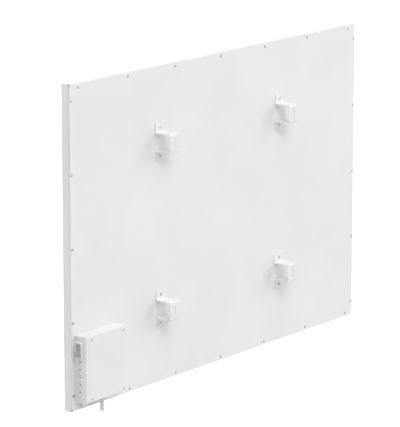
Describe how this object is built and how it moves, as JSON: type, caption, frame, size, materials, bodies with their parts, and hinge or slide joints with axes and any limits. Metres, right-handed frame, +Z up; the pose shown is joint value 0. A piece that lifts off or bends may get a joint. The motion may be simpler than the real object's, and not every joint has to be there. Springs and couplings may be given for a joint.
{
  "type": "wall infrared panel heater",
  "caption": "Flat white infrared panel heater for wall hanging, with slotted hat brackets, a screwed junction box, a rocker switch and a lead-out sleeve on its back.",
  "frame": {"origin": "on the wall's face, centred between the four hanging slots", "axes": "+X to the viewer's left when the back is looked at (the junction box's side), +Y out of the back to the wall, +Z up; the panel radiates towards -Y"},
  "size_m": [0.9, 0.052, 0.6092],
  "materials": {
    "powder_coat": "fine satin powder coat",
    "rivet_aluminium": "bare, as set",
    "zinc_steel": "bright zinc plate",
    "copper": "plain copper foil",
    "brass_bar": "plain",
    "foil": "bright foil",
    "mineral_board": "matte mineral fibre",
    "resistance_mat": "laminated film",
    "white_moulding": "matte moulding",
    "switch_white": "moulded, light sheen",
    "switch_grey": "moulded, light sheen",
    "block_plastic": "moulded polyamide",
    "grommet_rubber": "plain",
    "tag_sleeve": "soft insulation",
    "wire_brown": "silicone insulation",
    "wire_blue": "silicone insulation",
    "wire_green": "silicone insulation",
    "cutout_body": "phenolic moulding"
  },
  "bodies": {
    "panel": {"front_tray": "powder_coat", "back_plate": "powder_coat", "edge_rivets": "rivet_aluminium", "bracket_upper_left": "powder_coat", "bracket_upper_right": "powder_coat", "bracket_lower_left": "powder_coat", "bracket_lower_right": "powder_coat", "bracket_rivets": "rivet_aluminium", "heating_mat": "resistance_mat", "busbars": "copper", "busbar_lugs": "copper", "reflective_foil": "foil", "insulation_board": "mineral_board", "thermal_cutout": "cutout_body", "junction_box_body": "powder_coat", "junction_box_lid": "powder_coat", "lid_screws": "zinc_steel", "box_rivets": "rivet_aluminium", "lead_out_sleeve": "white_moulding", "switch_housing": "switch_white", "switch_blades": "brass_bar", "push_on_tags": "tag_sleeve", "terminal_block": "block_plastic", "clamp_bars": "brass_bar", "clamp_screws": "zinc_steel", "earth_stud": "zinc_steel", "earth_nuts": "zinc_steel", "earth_tag": "zinc_steel", "grommet": "grommet_rubber", "wire_live_feed": "wire_brown", "wire_neutral_feed": "wire_blue", "wire_live_lead": "wire_brown", "wire_neutral_lead": "wire_blue", "wire_element_lead": "wire_brown", "wire_earth": "wire_green"},
    "rocker": {"switch_rocker": "switch_grey"}
  },
  "joints": [
    {"name": "switch_press", "type": "hinge", "parent": "panel", "child": "rocker", "pos_m": [0.4412, -0.0225, -0.1835], "axis": [0, 1, 0], "range_deg": [0, 22]}
  ]
}
